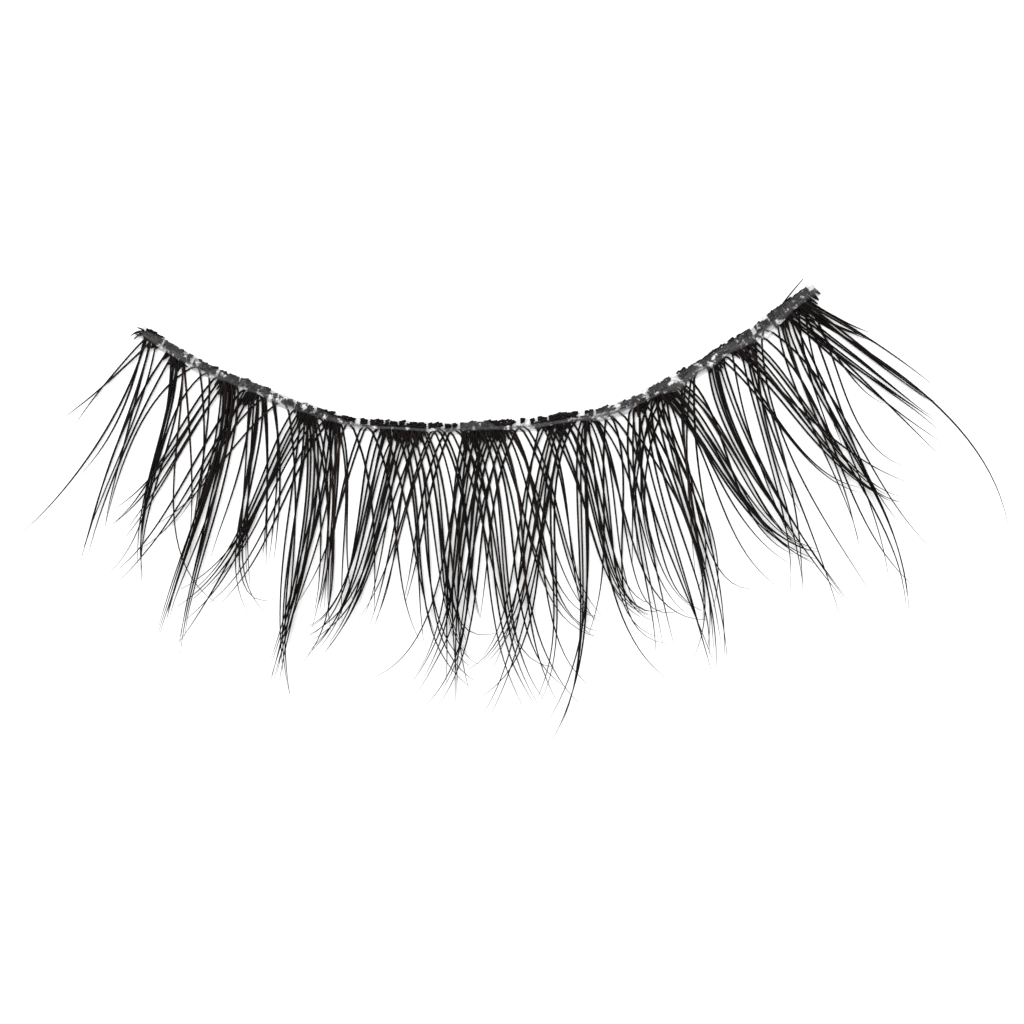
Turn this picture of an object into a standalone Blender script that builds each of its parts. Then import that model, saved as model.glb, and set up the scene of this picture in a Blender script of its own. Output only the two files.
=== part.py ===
"""False eyelash strip, for one eye, lying on a flat surface with its lash tips curling up.

The strip is built up from four layers, from the surface upwards: a clear carrier band, the fine
crossed lashes, the lash clusters and a clear glue film over the roots. Everything is drawn in plan
in millimetres, X along the strip and Y away from the lash tips, and each lash layer follows one
curl: height above the surface depends only on the distance from the band. Each lock is a tapered
spike, and the locks of a layer are fused to a root strip. The origin is the middle of the carrier
band's flat underside.
"""

import math
from collections import namedtuple

import bmesh
import bpy
from mathutils import Vector

MM = 0.001

# The band's centre line in plan, in millimetres. It is about 33 mm long and bows away from the eye.
Station = namedtuple("Station", "x y")
BAND_LINE = (
    Station(-15.4, 4.4),
    Station(-12.8, 2.8),
    Station(-9.8, 1.55),
    Station(-6.6, 0.35),
    Station(-3.2, 0.02),
    Station(0.0, 0.0),
    Station(3.2, 0.25),
    Station(6.4, 0.85),
    Station(9.2, 2.2),
    Station(12.4, 4.2),
    Station(15.3, 6.3),
)
BAND_SECTIONS = 27
FILM_SECTIONS = 44
BAND_FEET = 120

# The layers, in millimetres.
LAYER_GAP = 0.06
CARRIER_WIDTH = 0.58
CARRIER_THICKNESS = 0.12
ROOT_STRIP_WIDTH = 0.46
ROOT_STRIP_THICKNESS = 0.2
FILM_WIDTH = 0.52
FILM_THICKNESS = 0.08
FILM_END_TAB = 0.35

# The curl, in millimetres: the lashes dip to the surface, lie along it, then rise on an arc.
LOCK_HALF_THICKNESS = 0.09
TIP_HALF_THICKNESS = 0.04
CROSS_LAYER_HEIGHT = CARRIER_THICKNESS + LAYER_GAP + LOCK_HALF_THICKNESS
LAYER_STEP = 2 * LOCK_HALF_THICKNESS + LAYER_GAP
DIP_LENGTH = 2.6
CURL_START = 4.0
CURL_RADIUS = 12.0

# The form of a lock: a section every so far along it, a stub behind the band and a blunt tip.
SECTION_LENGTH = 2.0
FEWEST_SECTIONS = 5
ROOT_STUB = 0.42
STUB_END_SHARE = 0.6
TIP_WIDTH = 0.09
TAPER_POWER = 1.5

# Colours: red, green, blue and alpha.
HAIR_COLOUR = (0.012, 0.009, 0.008, 1.0)
CLEAR_COLOUR = (0.82, 0.82, 0.84, 0.45)

# A lock starts at root_x on the band and ends at its tip. A lean is the heading in degrees from
# straight down the plan, positive towards +X, at the root and at the tip. All lengths are in mm.
Lock = namedtuple("Lock", "root_x root_lean tip_x tip_y tip_lean width")
CLUSTER_LOCKS = (
    Lock(-15.1, -60, -18.9, 0.45, -43, 0.35),
    Lock(-14.7, -16, -18.1, -6.2, -12, 0.5),
    Lock(-14.05, -42, -17.5, -5.6, -5, 0.45),
    Lock(-13.9, -1, -15.5, -7.3, 9, 0.5),
    Lock(-11.6, -42, -16.6, -4.4, -52, 0.7),
    Lock(-11.3, -8, -14.5, -9.45, -5, 0.6),
    Lock(-11.0, 0, -13.6, -9.7, -6, 0.6),
    Lock(-10.5, -38, -15.4, -5.5, -50, 0.5),
    Lock(-10.2, 3, -13.2, -10.0, -22, 0.7),
    Lock(-8.1, -38, -13.7, -7.7, -62, 0.6),
    Lock(-7.9, -34, -14.0, -9.3, -62, 0.5),
    Lock(-7.8, 5, -8.45, -12.3, 5, 0.6),
    Lock(-7.55, 12, -9.7, -11.45, -8, 0.6),
    Lock(-6.6, 3, -7.2, -9.1, -8, 0.55),
    Lock(-6.35, 12, -8.6, -10.5, -45, 0.45),
    Lock(-4.4, -25, -8.3, -9.6, -65, 0.7),
    Lock(-3.85, -18, -8.2, -10.4, -65, 0.8),
    Lock(-3.65, -8, -7.4, -10.8, -45, 0.5),
    Lock(-2.8, 12, -0.45, -11.5, 70, 0.75),
    Lock(-2.55, 18, 0.6, -9.2, 105, 0.5),
    Lock(-0.45, -6, -3.3, -12.1, -48, 0.7),
    Lock(0.5, -8, -2.35, -12.85, -50, 0.8),
    Lock(0.8, -6, -1.35, -12.5, -5, 0.5),
    Lock(1.2, 22, 3.75, -12.5, 50, 0.8),
    Lock(3.25, -8, 0.45, -12.6, -58, 0.8),
    Lock(3.5, -6, 0.5, -13.6, -28, 0.5),
    Lock(3.85, 28, 7.95, -8.7, 92, 0.7),
    Lock(4.7, 0, 3.2, -14.3, -32, 0.75),
    Lock(4.95, 22, 8.4, -8.9, 105, 0.5),
    Lock(5.45, 32, 9.85, -8.5, 85, 0.7),
    Lock(7.4, 8, 10.6, -11.1, 18, 0.8),
    Lock(8.35, 8, 10.5, -8.1, -35, 0.75),
    Lock(8.85, 52, 15.5, -5.7, 80, 1.1),
    Lock(9.15, 2, 10.95, -11.6, -3, 0.5),
    Lock(10.85, 16, 17.1, -8.6, 36, 0.7),
    Lock(12.0, 54, 19.8, -3.45, 80, 1.2),
    Lock(11.85, 12, 14.5, -8.1, -3, 0.6),
    Lock(14.2, 60, 21.1, 0.0, 50, 1.0),
    Lock(13.7, 12, 18.1, -7.0, 18, 0.5),
    Lock(14.2, 20, 19.1, -8.4, -4, 0.5),
    Lock(14.55, 25, 20.1, -5.8, 30, 0.5),
    Lock(14.9, 58, 20.5, 1.3, 48, 0.8),
)
CROSSED_LOCKS = (
    Lock(-15.1, -10, -20.5, -4.8, -45, 0.3),
    Lock(-13.6, 0, -12.4, -8.1, 50, 0.3),
    Lock(-12.9, -62, -18.2, -2.95, -48, 0.3),
    Lock(-12.3, 4, -13.2, -6.0, -12, 0.3),
    Lock(-9.9, 8, -9.5, -8.1, 98, 0.35),
    Lock(-9.55, -48, -12.5, -4.2, -30, 0.3),
    Lock(-8.8, 20, -8.8, -8.05, -6, 0.35),
    Lock(-6.1, -15, -7.6, -8.95, -5, 0.3),
    Lock(-5.8, 20, -4.6, -9.1, 3, 0.3),
    Lock(-5.2, -20, -7.7, -8.5, -20, 0.3),
    Lock(-5.05, 28, -3.05, -9.7, 12, 0.3),
    Lock(-2.15, -25, -5.3, -9.4, -26, 0.35),
    Lock(-1.9, 25, 0.35, -8.95, 20, 0.35),
    Lock(-1.35, -24, -4.05, -8.2, -25, 0.35),
    Lock(-1.15, 28, 1.7, -10.5, 20, 0.35),
    Lock(-0.65, -10, -4.9, -11.95, -66, 0.3),
    Lock(1.6, -25, -0.45, -9.6, -12, 0.35),
    Lock(2.1, 28, 6.3, -8.9, 35, 0.3),
    Lock(2.5, -12, 0.85, -11.05, -28, 0.35),
    Lock(2.8, 28, 5.0, -9.3, 30, 0.3),
    Lock(4.25, -25, 3.3, -11.9, -25, 0.35),
    Lock(5.5, -4, 5.1, -9.3, -12, 0.35),
    Lock(5.75, 26, 7.75, -9.1, 0, 0.3),
    Lock(7.1, 10, 9.45, -10.3, -60, 0.3),
    Lock(8.4, 20, 12.7, -7.7, 80, 0.3),
    Lock(8.75, 36, 14.0, -6.1, 58, 0.35),
    Lock(9.75, 0, 10.2, -8.7, -3, 0.3),
    Lock(12.05, 40, 17.6, -3.05, 80, 0.3),
    Lock(12.4, 12, 18.1, -7.6, 38, 0.3),
    Lock(12.7, 50, 17.2, -6.1, 4, 0.35),
    Lock(14.4, 55, 21.4, -1.45, 47, 0.3),
    Lock(14.8, 58, 23.6, -4.5, 5, 0.35),
)

# Lumps of set glue on the film: place along the strip, reach along it, and how much they add.
Lump = namedtuple("Lump", "x reach extra_width extra_height")
GLUE_LUMPS = (
    Lump(-10.9, 0.5, 0.25, 0.14),
    Lump(-8.6, 0.8, 0.5, 0.3),
    Lump(0.3, 0.9, 0.2, 0.08),
    Lump(6.4, 0.5, 0.3, 0.2),
    Lump(12.9, 0.7, 0.45, 0.3),
    Lump(15.1, 0.4, 0.35, 0.2),
)


def clear_scene():
    """Remove the objects that a new file holds."""
    for item in list(bpy.data.objects):
        bpy.data.objects.remove(item)


def band_slopes():
    """Slope of the band's line at each station, from its neighbours."""
    last = len(BAND_LINE) - 1
    slopes = []
    for i in range(last + 1):
        before = BAND_LINE[max(i - 1, 0)]
        after = BAND_LINE[min(i + 1, last)]
        slopes.append((after.y - before.y) / (after.x - before.x))
    return slopes


BAND_SLOPES = band_slopes()


def band_y(x):
    """Height in plan of the band's centre line at x, on a smooth curve through the stations."""
    first, last = BAND_LINE[0], BAND_LINE[-1]
    if x <= first.x:
        return first.y + BAND_SLOPES[0] * (x - first.x)
    if x >= last.x:
        return last.y + BAND_SLOPES[-1] * (x - last.x)
    i = max(k for k in range(len(BAND_LINE) - 1) if BAND_LINE[k].x <= x)
    start, end = BAND_LINE[i], BAND_LINE[i + 1]
    span = end.x - start.x
    t = (x - start.x) / span
    return (
        (1 + 2 * t) * (1 - t) ** 2 * start.y
        + t * (1 - t) ** 2 * span * BAND_SLOPES[i]
        + t * t * (3 - 2 * t) * end.y
        + t * t * (t - 1) * span * BAND_SLOPES[i + 1]
    )


def band_point(x):
    """Plan point of the band's centre line at x."""
    return Vector((x, band_y(x)))


def band_samples(count, past_end=0.0):
    """Plan points along the band, the last one past_end beyond its +X end."""
    low, high = BAND_LINE[0].x, BAND_LINE[-1].x + past_end
    return [band_point(low + (high - low) * i / (count - 1)) for i in range(count)]


BAND_FOOT_POINTS = band_samples(BAND_FEET)


def distance_from_band(point):
    """Shortest distance in plan from a point to the band's centre line."""
    return min((point - foot).length for foot in BAND_FOOT_POINTS)


def curl_height(distance):
    """Height of the crossed layer's middle above the surface, by distance from the band."""
    low = LOCK_HALF_THICKNESS
    dip = min(distance / DIP_LENGTH, 1.0)
    height = CROSS_LAYER_HEIGHT + (low - CROSS_LAYER_HEIGHT) * dip * dip * (3 - 2 * dip)
    past = distance - CURL_START
    if past > 0:
        height += CURL_RADIUS - math.sqrt(CURL_RADIUS**2 - past**2)
    return height


def heading(lean):
    """Unit plan vector of a lean in degrees, where 0 is straight down the plan."""
    turned = math.radians(lean)
    return Vector((math.sin(turned), -math.cos(turned)))


def lock_line(lock):
    """Plan points along a lock, from the trimmed root end behind the band to the tip."""
    root = band_point(lock.root_x)
    tip = Vector((lock.tip_x, lock.tip_y))
    length = (tip - root).length
    steps = max(FEWEST_SECTIONS - 1, math.ceil(length / SECTION_LENGTH))
    reach = length / 3
    near = root + heading(lock.root_lean) * reach
    far = tip - heading(lock.tip_lean) * reach
    line = [root - heading(lock.root_lean) * ROOT_STUB]
    for i in range(steps + 1):
        t = i / steps
        s = 1 - t
        line.append(s**3 * root + 3 * s * s * t * near + 3 * s * t * t * far + t**3 * tip)
    return line


def lock_rings(lock, layer_height):
    """Rings of a lock: a diamond with its sides on the layer's surface and ridges above and below."""
    line = lock_line(lock)
    rings = []
    for i, point in enumerate(line):
        share = max(i - 1, 0) / (len(line) - 2)
        full = lock.width * (STUB_END_SHARE if i == 0 else 1.0)
        width = TIP_WIDTH + (full - TIP_WIDTH) * (1 - share**TAPER_POWER)
        half = LOCK_HALF_THICKNESS + (TIP_HALF_THICKNESS - LOCK_HALF_THICKNESS) * share
        before, after = line[max(i - 1, 0)], line[min(i + 1, len(line) - 1)]
        along = (after - before).normalized()
        side = Vector((-along.y, along.x)) * width / 2
        ring = []
        for offset, lift in ((side, 0.0), (side * 0, half), (-side, 0.0), (side * 0, -half)):
            place = point + offset
            height = curl_height(distance_from_band(place)) + layer_height + lift
            ring.append(Vector((place.x, place.y, height)) * MM)
        rings.append(ring)
    return rings


def mesh_from_rings(name, rings):
    """Closed mesh through rings of equal count, with flat ends and its faces pointing out."""
    shape = bmesh.new()
    rows = [[shape.verts.new(corner) for corner in ring] for ring in rings]
    count = len(rows[0])
    for near, far in zip(rows, rows[1:]):
        for k in range(count):
            shape.faces.new((near[k], near[(k + 1) % count], far[(k + 1) % count], far[k]))
    shape.faces.new(rows[0])
    shape.faces.new(reversed(rows[-1]))
    bmesh.ops.triangulate(shape, faces=shape.faces[:])
    bmesh.ops.recalc_face_normals(shape, faces=shape.faces[:])
    mesh = bpy.data.meshes.new(name)
    shape.to_mesh(mesh)
    shape.free()
    return mesh


def add_object(name, mesh, material):
    """Link a new object for a mesh to the scene."""
    mesh.materials.append(material)
    item = bpy.data.objects.new(name, mesh)
    bpy.context.scene.collection.objects.link(item)
    return item


def make_material(name, colour, roughness):
    """Principled material with a colour and a roughness."""
    material = bpy.data.materials.new(name)
    material.use_nodes = True
    shader = material.node_tree.nodes["Principled BSDF"]
    shader.inputs["Base Color"].default_value = colour
    shader.inputs["Alpha"].default_value = colour[3]
    shader.inputs["Roughness"].default_value = roughness
    shader.inputs["Metallic"].default_value = 0.0
    return material


def strip_rings(points, section):
    """Rings of a flat strip along plan points. section(x) gives its width, bottom and top in mm."""
    rings = []
    for i, point in enumerate(points):
        before, after = points[max(i - 1, 0)], points[min(i + 1, len(points) - 1)]
        along = (after - before).normalized()
        across = Vector((-along.y, along.x))
        width, bottom, top = section(point.x)
        ring = []
        for side, height in ((0.5, bottom), (0.5, top), (-0.5, top), (-0.5, bottom)):
            place = point + across * width * side
            ring.append(Vector((place.x, place.y, height)) * MM)
        rings.append(ring)
    return rings


def carrier_section(x):
    """The clear carrier band lies flat on the surface."""
    return CARRIER_WIDTH, 0.0, CARRIER_THICKNESS


def root_strip_section(layer_height):
    """Section of the strip that the locks of one layer are knotted to."""
    middle = CROSS_LAYER_HEIGHT + layer_height
    half = ROOT_STRIP_THICKNESS / 2
    return lambda x: (ROOT_STRIP_WIDTH, middle - half, middle + half)


def film_section(x):
    """The glue film, wider and higher where the glue set in a lump."""
    bottom = CROSS_LAYER_HEIGHT + LAYER_STEP + LOCK_HALF_THICKNESS + LAYER_GAP
    width, top = FILM_WIDTH, bottom + FILM_THICKNESS
    for lump in GLUE_LUMPS:
        share = math.exp(-(((x - lump.x) / lump.reach) ** 2))
        width += lump.extra_width * share
        top += lump.extra_height * share
    return width, bottom, top


def add_fringe(name, locks, layer_height, material):
    """A root strip with its locks fused to it in one solid."""
    section = root_strip_section(layer_height)
    strip = mesh_from_rings(name, strip_rings(band_samples(BAND_SECTIONS), section))
    fringe = add_object(name, strip, material)
    cutters = bpy.data.collections.new(name + "_locks")
    for i, lock in enumerate(locks):
        lock_name = f"{name}_lock_{i}"
        spike = bpy.data.objects.new(lock_name, mesh_from_rings(lock_name, lock_rings(lock, layer_height)))
        spike.hide_render = True
        spike.display_type = "WIRE"
        cutters.objects.link(spike)
    bpy.context.scene.collection.children.link(cutters)
    fuse = fringe.modifiers.new("Fuse locks", "BOOLEAN")
    fuse.operation = "UNION"
    fuse.operand_type = "COLLECTION"
    fuse.collection = cutters
    fuse.solver = "EXACT"
    return fringe


def build():
    """Build the strip from the surface upwards."""
    clear_scene()
    hair = make_material("lash_hair", HAIR_COLOUR, 0.45)
    clear = make_material("clear_band", CLEAR_COLOUR, 0.2)
    carrier = strip_rings(band_samples(BAND_SECTIONS), carrier_section)
    add_object("carrier_band", mesh_from_rings("carrier_band", carrier), clear)
    add_fringe("crossed_lashes", CROSSED_LOCKS, 0.0, hair)
    add_fringe("cluster_lashes", CLUSTER_LOCKS, LAYER_STEP, hair)
    film = strip_rings(band_samples(FILM_SECTIONS, FILM_END_TAB), film_section)
    add_object("glue_film", mesh_from_rings("glue_film", film), clear)


build()
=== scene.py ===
"""The looks of a false eyelash strip: separate hairs, cut root ends, thread, clear band and set glue.

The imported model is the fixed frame, and every piece here stands on the same named sizes. Plan
measures are in millimetres, X along the strip and Y away from the lash tips, and become metres
where a mesh is made.
"""

from __future__ import annotations

import itertools
import logging
import math
from dataclasses import dataclass
from enum import Enum
from typing import NamedTuple, Sequence

import bpy
import numpy as np
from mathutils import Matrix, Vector


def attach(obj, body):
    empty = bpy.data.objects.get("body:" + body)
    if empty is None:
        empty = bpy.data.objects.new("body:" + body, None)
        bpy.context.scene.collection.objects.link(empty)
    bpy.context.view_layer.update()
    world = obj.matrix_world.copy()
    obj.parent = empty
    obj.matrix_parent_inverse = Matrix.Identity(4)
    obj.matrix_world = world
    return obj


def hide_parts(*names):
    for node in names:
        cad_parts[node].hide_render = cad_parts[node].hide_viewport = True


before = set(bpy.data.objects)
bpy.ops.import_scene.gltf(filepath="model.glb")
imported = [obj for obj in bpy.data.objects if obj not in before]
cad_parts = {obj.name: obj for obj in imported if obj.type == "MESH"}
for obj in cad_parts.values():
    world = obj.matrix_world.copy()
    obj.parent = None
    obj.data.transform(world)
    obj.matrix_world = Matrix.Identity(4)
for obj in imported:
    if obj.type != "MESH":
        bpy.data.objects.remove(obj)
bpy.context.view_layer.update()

LOG = logging.getLogger("lash_strip")
MM = 0.001
BODY = "root"

# The kind of socket that a geometry tree's input has, by the type of its value.
SOCKET_KINDS = {
    float: "NodeSocketFloat",
    int: "NodeSocketInt",
    bpy.types.Material: "NodeSocketMaterial",
}

# The random numbers that each fibre gets, with the least value of each. The largest is 1.
FIBRE_CHANCES = {
    "side_chance": -1.0,
    "weave_chance": -1.0,
    "bow_chance": -1.0,
    "thick_chance": -1.0,
    "lift_chance": 0.0,
    "length_chance": 0.0,
    "tone": 0.0,
}


class BandStation(NamedTuple):
    """A point that the band's centre line passes through, in plan."""

    x: float
    y: float


class Lock(NamedTuple):
    """A lock of hairs, in plan: it starts at root_x on the band and ends at its tip.

    A lean is the heading in degrees from straight down the plan, positive towards +X. The width is
    the lock's widest, and gather is the share of it that is left where the hairs draw together.
    """

    root_x: float
    root_lean: float
    tip_x: float
    tip_y: float
    tip_lean: float
    width: float
    hairs: int = 1
    gather: float = 0.6


class Knot(NamedTuple):
    """A knot of lashes: the stretch of band that it fills and how far its fibres reach down."""

    start_x: float
    end_x: float
    reach: float


class CutRun(NamedTuple):
    """A run of cut root ends above the band's centre line: its middle's rise, and its rows."""

    start_x: float
    end_x: float
    rise: float
    rows: int = 3


class StripStation(NamedTuple):
    """A section of a clear strip: its edges above and below the centre line, and its thickness."""

    x: float
    above: float
    below: float
    thickness: float


class Lamp(NamedTuple):
    """A soft light: where it hangs and its side, in metres, and its power in watts."""

    name: str
    place: tuple[float, float, float]
    size: float
    power: float


def table(kind: type, rows: Sequence[tuple]) -> tuple:
    """Give a table's rows the named columns of their kind."""
    return tuple(kind(*row) for row in rows)


BAND_STATIONS = table(BandStation, (
    (-15.4, 4.4),
    (-12.8, 2.8),
    (-9.8, 1.55),
    (-6.6, 0.35),
    (-3.2, 0.02),
    (0.0, 0.0),
    (3.2, 0.25),
    (6.4, 0.85),
    (9.2, 2.2),
    (12.4, 4.2),
    (15.3, 6.3),
))

CLUSTER_LOCKS = table(Lock, (
    (-14.95, -47, -18.8, 0.3, -45, 0.4, 2, 0.8),
    (-14.8, -12, -18.05, -6.2, -10, 0.45, 2, 0.4),
    (-14.0, -32, -17.6, -5.9, -10, 0.5, 2, 0.3),
    (-11.7, -38, -16.8, -4.4, -54, 0.6, 3),
    (-11.6, -36, -16.6, -5.0, -48, 0.4, 2),
    (-11.5, 0, -14.5, -9.6, -12, 0.6, 6, 0.15),
    (-11.15, -3, -13.6, -10.3, -6, 0.6, 4, 0.12),
    (-10.5, -40, -16.7, -6.9, -52, 0.5, 2),
    (-10.45, -28, -13.0, -5.4, -22, 0.5, 2),
    (-10.25, -2, -10.6, -7.6, 4, 0.55, 3, 0.5),
    (-8.0, -34, -13.9, -7.8, -65, 0.9, 4),
    (-8.0, -32, -13.4, -8.8, -55, 0.5, 1, 0.5),
    (-7.95, -3, -8.3, -12.4, 18, 0.5, 3, 0.35),
    (-7.7, 6, -9.4, -12.0, -12, 0.5, 4, 0.25),
    (-6.7, -2, -9.6, -11.7, -16, 0.7, 4, 0.2),
    (-4.15, -17, -8.4, -9.7, -75, 1.2, 5, 0.5),
    (-4.05, -15, -8.6, -10.5, -62, 0.8, 2, 0.5),
    (-4.1, 22, -2.5, -9.7, 8, 0.9, 2, 0.5),
    (-3.2, -26, -7.4, -11.0, -42, 1.1, 4),
    (-3.0, -22, -5.2, -9.4, -20, 0.9, 2, 0.7),
    (-3.1, 24, 0.5, -11.55, 74, 1.0, 5, 0.4),
    (-2.8, 24, -0.6, -10.0, 22, 0.7, 3),
    (-0.3, -12, -3.2, -12.1, -40, 0.9, 4, 0.45),
    (-0.1, -16, -0.8, -12.3, 10, 0.8, 3, 0.5),
    (-0.4, 26, 3.3, -13.5, 44, 1.0, 3, 0.5),
    (-0.2, 30, 3.9, -12.5, 56, 1.2, 2),
    (0.85, -24, -2.3, -12.8, -44, 1.0, 3, 0.35),
    (0.9, -22, -1.35, -12.5, -2, 0.9, 2, 0.5),
    (0.85, 29, 4.5, -12.5, 44, 1.1, 3),
    (3.5, -22, -1.1, -11.3, -68, 1.0, 4, 0.5),
    (3.6, -18, 0.2, -12.6, -54, 0.8, 1, 0.4),
    (3.6, -14, 0.45, -13.6, -24, 0.8, 2, 0.4),
    (3.6, 36, 8.4, -8.4, 98, 1.1, 5, 0.5),
    (4.7, -6, 3.2, -14.4, -30, 0.5, 3, 0.25),
    (4.9, 30, 8.6, -9.0, 96, 0.6, 3),
    (5.5, 46, 10.1, -8.5, 68, 0.8, 3, 0.5),
    (7.2, 4, 10.7, -11.3, 16, 0.8, 3, 0.3),
    (8.1, 4, 10.7, -11.0, -2, 0.9, 4, 0.35),
    (8.6, 48, 15.5, -5.8, 80, 1.1, 11, 0.4),
    (10.55, 8, 14.4, -5.4, 28, 0.5, 4, 0.4),
    (10.8, 14, 17.0, -8.6, 36, 0.6, 3, 0.3),
    (11.9, 47, 19.8, -3.45, 84, 1.0, 6, 0.3),
    (12.0, 14, 14.5, -8.05, -2, 0.6, 3, 0.4),
    (13.6, 8, 17.2, -6.0, 8, 0.5, 2, 0.5),
    (13.8, 14, 19.2, -8.5, -4, 0.6, 3, 0.5),
    (13.95, 54, 21.1, -0.1, 52, 0.7, 5, 0.15),
    (14.5, 55, 20.95, 0.8, 52, 0.4, 4, 0.12),
    (14.6, 50, 18.0, 3.95, 68, 0.4, 4, 0.3),
))

CROSSED_LOCKS = table(Lock, (
    (-15.2, -14, -18.2, -1.9, -45, 0.3),
    (-15.1, -14, -20.6, -4.9, -46, 0.25, 1, 0.5),
    (-14.95, -14, -17.5, -4.6, -16, 0.4),
    (-13.9, 2, -15.7, -6.8, 2, 0.4, 3, 0.5),
    (-13.6, 0, -15.0, -7.7, 16, 0.5, 2, 0.5),
    (-13.5, 4, -12.2, -8.1, 50, 0.2, 1, 0.5),
    (-13.45, 4, -13.3, -5.2, -8, 0.4),
    (-12.9, -66, -17.2, -4.2, -15, 0.3, 1, 0.5),
    (-12.75, 4, -13.1, -4.6, -10, 0.3),
    (-12.4, -52, -16.7, -6.9, -45, 0.3),
    (-12.3, 6, -13.4, -5.6, -14, 0.3),
    (-11.3, -2, -14.4, -8.5, -18, 0.45, 1, 0.4),
    (-10.45, -36, -15.0, -5.6, -50, 0.4),
    (-10.35, -6, -12.4, -5.8, -18, 0.4),
    (-10.1, 4, -9.3, -8.0, 100, 0.2, 1, 0.5),
    (-10.0, 8, -10.0, -8.7, 40, 0.3, 2),
    (-9.8, 6, -9.85, -6.5, -5, 0.2, 2),
    (-9.65, -55, -13.9, -4.1, -46, 0.3),
    (-9.4, 10, -9.4, -6.6, -4, 0.2, 2),
    (-9.05, -52, -14.2, -4.7, -50, 0.3),
    (-8.75, 10, -8.75, -10.4, -4, 0.25),
    (-7.9, -30, -13.2, -10.0, -26, 0.3, 1, 0.5),
    (-7.7, 16, -7.1, -8.6, -3, 0.5, 3, 0.5),
    (-7.3, -42, -12.2, -7.3, -50, 0.25),
    (-7.2, 20, -7.1, -9.2, 4, 0.3),
    (-6.9, -42, -12.5, -8.2, -55, 0.3, 2),
    (-6.6, 2, -7.4, -9.3, -12, 0.5, 3, 0.5),
    (-6.4, 16, -5.9, -8.8, 12, 0.3, 2, 0.5),
    (-6.1, -18, -8.4, -10.4, -50, 0.3, 1, 0.5),
    (-5.85, 24, -4.6, -8.4, 4, 0.4),
    (-5.25, -20, -7.9, -8.2, -30, 0.3, 2),
    (-5.05, 30, -3.0, -9.8, 22, 0.3),
    (-2.8, 24, 0.75, -8.95, 118, 0.5, 1, 0.5),
    (-2.7, -28, -4.4, -9.0, -18, 0.6),
    (-2.1, -24, -5.3, -9.4, -28, 0.25, 2),
    (-1.9, 30, 0.4, -9.3, 24, 0.45, 3),
    (-1.4, -26, -4.1, -8.2, -30, 0.3, 2),
    (-1.2, 31, 1.75, -10.6, 20, 0.5, 2),
    (-0.45, -16, -4.9, -12.0, -66, 0.4),
    (0.1, 26, 3.8, -10.6, 100, 0.5),
    (0.9, 32, 6.3, -9.4, 76, 0.9, 2),
    (1.1, 32, 6.0, -8.9, 100, 0.8, 3),
    (1.75, -28, -0.2, -8.6, -14, 0.35),
    (1.95, 34, 5.3, -9.0, 35, 0.4, 2),
    (2.75, -16, 0.9, -11.0, -22, 0.45),
    (2.9, 28, 5.0, -8.6, 20, 0.3, 2),
    (3.9, 32, 8.4, -8.9, 96, 0.6),
    (4.2, -28, 2.4, -12.3, -32, 0.35, 2),
    (4.75, 0, 2.9, -13.1, -35, 0.3),
    (4.9, 6, 8.4, -11.5, 52, 0.6),
    (5.1, 30, 10.3, -8.4, 98, 0.7),
    (5.2, 32, 9.1, -8.0, 118, 0.5),
    (5.75, -8, 5.3, -9.4, -14, 0.3, 1, 0.7),
    (5.9, 30, 8.5, -9.6, 85, 0.5),
    (6.35, 34, 9.9, -9.9, -15, 0.3),
    (7.05, -4, 8.6, -10.4, 10, 0.6, 3, 0.5),
    (7.35, 12, 9.5, -10.3, -28, 0.4, 1, 0.5),
    (7.3, 34, 11.0, -11.6, -6, 0.5, 2, 0.5),
    (8.3, -28, 7.5, -6.5, 12, 0.8, 4),
    (8.05, 14, 10.0, -8.2, -30, 0.35, 2),
    (8.3, 34, 12.7, -7.6, 95, 0.4),
    (8.45, 38, 13.7, -7.1, 62, 0.4),
    (8.5, 40, 14.1, -6.1, 60, 0.3),
    (9.2, -4, 10.2, -8.7, -2, 0.35, 1, 0.7),
    (9.5, -10, 10.1, -7.0, 10, 0.4, 2),
    (9.45, 46, 13.9, -6.1, 55, 0.25),
    (9.75, 0, 11.3, -6.2, 20, 0.15),
    (11.0, 52, 17.6, -3.1, 80, 0.4, 2, 0.8),
    (11.45, 10, 14.3, -5.0, 25, 0.2),
    (11.6, 46, 19.4, -2.8, 68, 0.4),
    (12.1, 10, 15.75, -8.7, 8, 0.3),
    (12.6, 58, 19.7, -6.95, 50, 0.3, 1, 0.5),
    (12.5, 0, 14.0, -4.0, 20, 0.2),
    (12.8, 0, 17.9, -7.5, 34, 0.2),
    (12.95, 58, 20.1, -5.6, 40, 0.25),
    (14.0, 28, 19.5, -5.0, 30, 0.4),
    (13.95, 22, 18.2, -7.0, 0, 0.4),
    (14.6, 4, 16.9, -1.0, 28, 0.4, 2),
    (14.2, 60, 23.6, -4.5, 6, 0.2, 1, 0.5),
    (13.9, 50, 21.4, -1.45, 50, 0.3, 2),
    (14.5, 30, 18.8, -4.3, 35, 0.3),
    (14.7, 40, 19.0, -2.2, 60, 0.4),
    (14.4, 50, 18.0, 0.8, 50, 0.3),
    (14.7, 58, 20.8, 2.1, 58, 0.15),
))

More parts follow.
